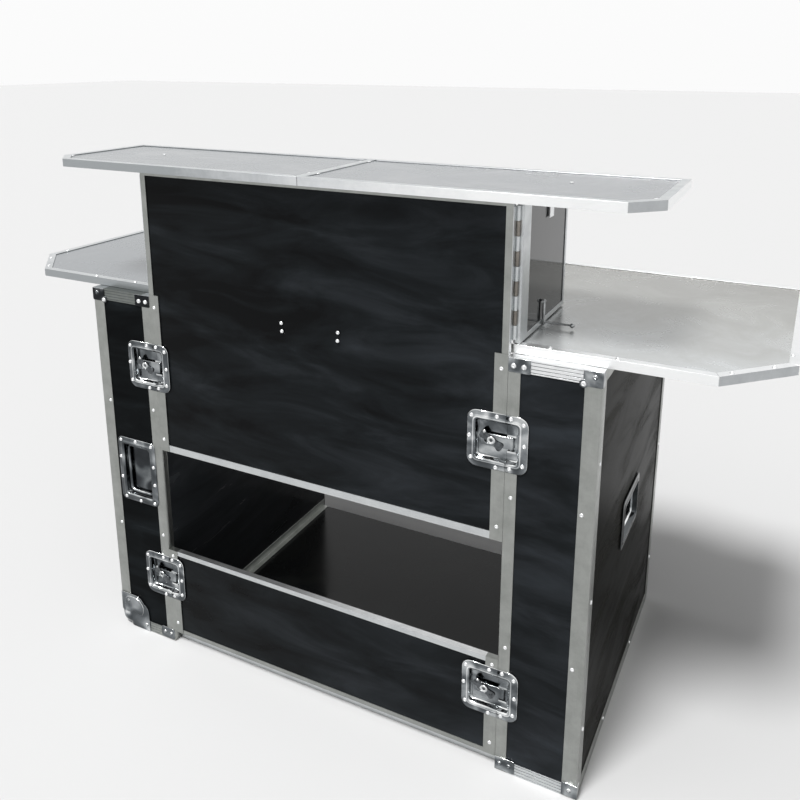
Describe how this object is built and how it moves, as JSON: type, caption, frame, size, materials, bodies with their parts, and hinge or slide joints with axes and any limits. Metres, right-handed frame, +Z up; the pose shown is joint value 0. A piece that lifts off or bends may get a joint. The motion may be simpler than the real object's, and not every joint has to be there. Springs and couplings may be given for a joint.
{
  "type": "flight case bar",
  "caption": "Portable bar built like a flight case: two upright cases joined by latched front panels, with a metal-faced worktop and a raised counter on folding side returns.",
  "frame": {"origin": "on the floor, below the middle of the bar's box", "axes": "+Z up, the customer side faces -Y, +X to the customer's right along the bar"},
  "size_m": [1.634, 0.677, 1.1],
  "materials": {
    "case_box_left": "plywood faced with gloss black laminate",
    "case_outer_stile_left": "drawn aluminium, satin",
    "case_seam_stile_left": "drawn aluminium, satin",
    "case_top_rail_left": "drawn aluminium, satin",
    "case_bottom_rail_left": "drawn aluminium, satin",
    "case_side_edging_left": "drawn aluminium, satin",
    "base_angle_left": "drawn aluminium, satin",
    "worktop_left_board": "plywood faced with thin polished metal sheet",
    "worktop_left_edge": "drawn aluminium, satin",
    "counter_left_board": "plywood faced with thin polished metal sheet",
    "counter_left_edge": "drawn aluminium, satin",
    "return_left_board": "plywood faced with gloss black laminate",
    "return_left_edge": "drawn aluminium, satin",
    "hinge_fixed_left": "drawn aluminium, satin",
    "hinge_moving_left": "drawn aluminium, satin",
    "drop_bolt_left": "dark plated steel",
    "latch_dish_upper_left": "polished chrome plate",
    "latch_keeper_upper_left": "polished chrome plate",
    "latch_hook_upper_left": "polished chrome plate",
    "latch_cam_upper_left": "polished chrome plate",
    "latch_dish_lower_left": "polished chrome plate",
    "latch_keeper_lower_left": "polished chrome plate",
    "latch_hook_lower_left": "polished chrome plate",
    "latch_cam_lower_left": "polished chrome plate",
    "case_box_right": "plywood faced with gloss black laminate",
    "case_outer_stile_right": "drawn aluminium, satin",
    "case_seam_stile_right": "drawn aluminium, satin",
    "case_top_rail_right": "drawn aluminium, satin",
    "case_bottom_rail_right": "drawn aluminium, satin",
    "case_side_edging_right": "drawn aluminium, satin",
    "base_angle_right": "drawn aluminium, satin",
    "worktop_right_board": "plywood faced with thin polished metal sheet",
    "worktop_right_edge": "drawn aluminium, satin",
    "counter_right_board": "plywood faced with thin polished metal sheet",
    "counter_right_edge": "drawn aluminium, satin",
    "return_right_board": "plywood faced with gloss black laminate",
    "return_right_edge": "drawn aluminium, satin",
    "hinge_fixed_right": "drawn aluminium, satin",
    "hinge_moving_right": "drawn aluminium, satin",
    "drop_bolt_right": "dark plated steel",
    "latch_dish_upper_right": "polished chrome plate",
    "latch_keeper_upper_right": "polished chrome plate",
    "latch_hook_upper_right": "polished chrome plate",
    "latch_cam_upper_right": "polished chrome plate",
    "latch_dish_lower_right": "polished chrome plate",
    "latch_keeper_lower_right": "polished chrome plate",
    "latch_hook_lower_right": "polished chrome plate",
    "latch_cam_lower_right": "polished chrome plate",
    "case_front_left": "plywood faced with gloss black laminate",
    "ball_corner_left": "polished chrome plate",
    "base_board": "plywood faced with gloss black laminate",
    "worktop_bracket": "drawn aluminium, satin",
    "upper_panel_board": "plywood faced with gloss black laminate",
    "upper_panel_edge": "drawn aluminium, satin",
    "lower_panel_board": "plywood faced with gloss black laminate",
    "lower_panel_edge": "drawn aluminium, satin",
    "handle_dish_front": "polished chrome plate",
    "handle_bail_front": "polished chrome plate",
    "handle_dish_side": "polished chrome plate",
    "handle_bail_side": "polished chrome plate"
  },
  "bodies": {
    "bar": {"case_box_left": "case_box_left", "case_outer_stile_left": "case_outer_stile_left", "case_seam_stile_left": "case_seam_stile_left", "case_top_rail_left": "case_top_rail_left", "case_bottom_rail_left": "case_bottom_rail_left", "case_side_edging_left": "case_side_edging_left", "base_angle_left": "base_angle_left", "worktop_left_board": "worktop_left_board", "worktop_left_edge": "worktop_left_edge", "hinge_fixed_left": "hinge_fixed_left", "latch_dish_upper_left": "latch_dish_upper_left", "latch_keeper_upper_left": "latch_keeper_upper_left", "latch_dish_lower_left": "latch_dish_lower_left", "latch_keeper_lower_left": "latch_keeper_lower_left", "case_box_right": "case_box_right", "case_outer_stile_right": "case_outer_stile_right", "case_seam_stile_right": "case_seam_stile_right", "case_top_rail_right": "case_top_rail_right", "case_bottom_rail_right": "case_bottom_rail_right", "case_side_edging_right": "case_side_edging_right", "base_angle_right": "base_angle_right", "worktop_right_board": "worktop_right_board", "worktop_right_edge": "worktop_right_edge", "hinge_fixed_right": "hinge_fixed_right", "latch_dish_upper_right": "latch_dish_upper_right", "latch_keeper_upper_right": "latch_keeper_upper_right", "latch_dish_lower_right": "latch_dish_lower_right", "latch_keeper_lower_right": "latch_keeper_lower_right", "case_front_left": "case_front_left", "ball_corner_left": "ball_corner_left", "base_board": "base_board", "worktop_bracket": "worktop_bracket", "upper_panel_board": "upper_panel_board", "upper_panel_edge": "upper_panel_edge", "lower_panel_board": "lower_panel_board", "lower_panel_edge": "lower_panel_edge", "handle_dish_front": "handle_dish_front", "handle_dish_side": "handle_dish_side"},
    "cam_upper_left": {"latch_cam_upper_left": "latch_cam_upper_left"},
    "hook_upper_left": {"latch_hook_upper_left": "latch_hook_upper_left"},
    "cam_upper_right": {"latch_cam_upper_right": "latch_cam_upper_right"},
    "hook_upper_right": {"latch_hook_upper_right": "latch_hook_upper_right"},
    "cam_lower_left": {"latch_cam_lower_left": "latch_cam_lower_left"},
    "hook_lower_left": {"latch_hook_lower_left": "latch_hook_lower_left"},
    "cam_lower_right": {"latch_cam_lower_right": "latch_cam_lower_right"},
    "hook_lower_right": {"latch_hook_lower_right": "latch_hook_lower_right"},
    "bail_front": {"handle_bail_front": "handle_bail_front"},
    "bail_side": {"handle_bail_side": "handle_bail_side"},
    "return_left": {"return_left_board": "return_left_board", "return_left_edge": "return_left_edge", "hinge_moving_left": "hinge_moving_left"},
    "bolt_left": {"drop_bolt_left": "drop_bolt_left"},
    "counter_left": {"counter_left_board": "counter_left_board", "counter_left_edge": "counter_left_edge"},
    "return_right": {"return_right_board": "return_right_board", "return_right_edge": "return_right_edge", "hinge_moving_right": "hinge_moving_right"},
    "bolt_right": {"drop_bolt_right": "drop_bolt_right"},
    "counter_right": {"counter_right_board": "counter_right_board", "counter_right_edge": "counter_right_edge"}
  },
  "joints": [
    {"name": "cam_turn_upper_left", "type": "hinge", "parent": "bar", "child": "cam_upper_left", "pos_m": [-0.4145, -0.3135, 0.669], "axis": [0, -1, 0], "range_deg": [0, 180]},
    {"name": "hook_slide_upper_left", "type": "slide", "parent": "bar", "child": "hook_upper_left", "axis": [1, 0, 0], "range_m": [0, 0.006]},
    {"name": "cam_turn_upper_right", "type": "hinge", "parent": "bar", "child": "cam_upper_right", "pos_m": [0.3625, -0.3135, 0.669], "axis": [0, -1, 0], "range_deg": [0, 180]},
    {"name": "hook_slide_upper_right", "type": "slide", "parent": "bar", "child": "hook_upper_right", "axis": [1, 0, 0], "range_m": [0, 0.006]},
    {"name": "cam_turn_lower_left", "type": "hinge", "parent": "bar", "child": "cam_lower_left", "pos_m": [-0.4145, -0.3135, 0.167], "axis": [0, -1, 0], "range_deg": [0, 180]},
    {"name": "hook_slide_lower_left", "type": "slide", "parent": "bar", "child": "hook_lower_left", "axis": [1, 0, 0], "range_m": [0, 0.006]},
    {"name": "cam_turn_lower_right", "type": "hinge", "parent": "bar", "child": "cam_lower_right", "pos_m": [0.3625, -0.3135, 0.167], "axis": [0, -1, 0], "range_deg": [0, 180]},
    {"name": "hook_slide_lower_right", "type": "slide", "parent": "bar", "child": "hook_lower_right", "axis": [1, 0, 0], "range_m": [0, 0.006]},
    {"name": "front_bail_swing", "type": "hinge", "parent": "bar", "child": "bail_front", "pos_m": [-0.4909, -0.3044, 0.4125], "axis": [0, 0, -1], "range_deg": [0, 90], "stiffness_Nm_per_rad": 0.08, "springref_deg": -34.38},
    {"name": "side_bail_swing", "type": "hinge", "parent": "bar", "child": "bail_side", "pos_m": [0.5359, 0.0125, 0.4444], "axis": [0, -1, 0], "range_deg": [0, 90], "stiffness_Nm_per_rad": 0.08, "springref_deg": -34.38},
    {"name": "return_fold_left", "type": "hinge", "parent": "bar", "child": "return_left", "pos_m": [-0.3918, -0.2972, 0.8423], "axis": [0, 0, -1], "range_deg": [0, 90]},
    {"name": "drop_bolt_lift_left", "type": "slide", "parent": "return_left", "child": "bolt_left", "axis": [0, 0, 1], "range_m": [0, 0.03]},
    {"name": "counter_lift_left", "type": "slide", "parent": "bar", "child": "counter_left", "axis": [0, 0, 1], "range_m": [0, 0.3]},
    {"name": "return_fold_right", "type": "hinge", "parent": "bar", "child": "return_right", "pos_m": [0.3918, -0.2972, 0.8423], "axis": [0, 0, 1], "range_deg": [0, 90]},
    {"name": "drop_bolt_lift_right", "type": "slide", "parent": "return_right", "child": "bolt_right", "axis": [0, 0, 1], "range_m": [0, 0.03]},
    {"name": "counter_lift_right", "type": "slide", "parent": "bar", "child": "counter_right", "axis": [0, 0, 1], "range_m": [0, 0.3]}
  ],
  "couplings": [
    {"joint": "hook_slide_upper_left", "follows": "cam_turn_upper_left", "m_per_rad": 0.0019099},
    {"joint": "hook_slide_upper_right", "follows": "cam_turn_upper_right", "m_per_rad": 0.0019099},
    {"joint": "hook_slide_lower_left", "follows": "cam_turn_lower_left", "m_per_rad": 0.0019099},
    {"joint": "hook_slide_lower_right", "follows": "cam_turn_lower_right", "m_per_rad": 0.0019099}
  ]
}
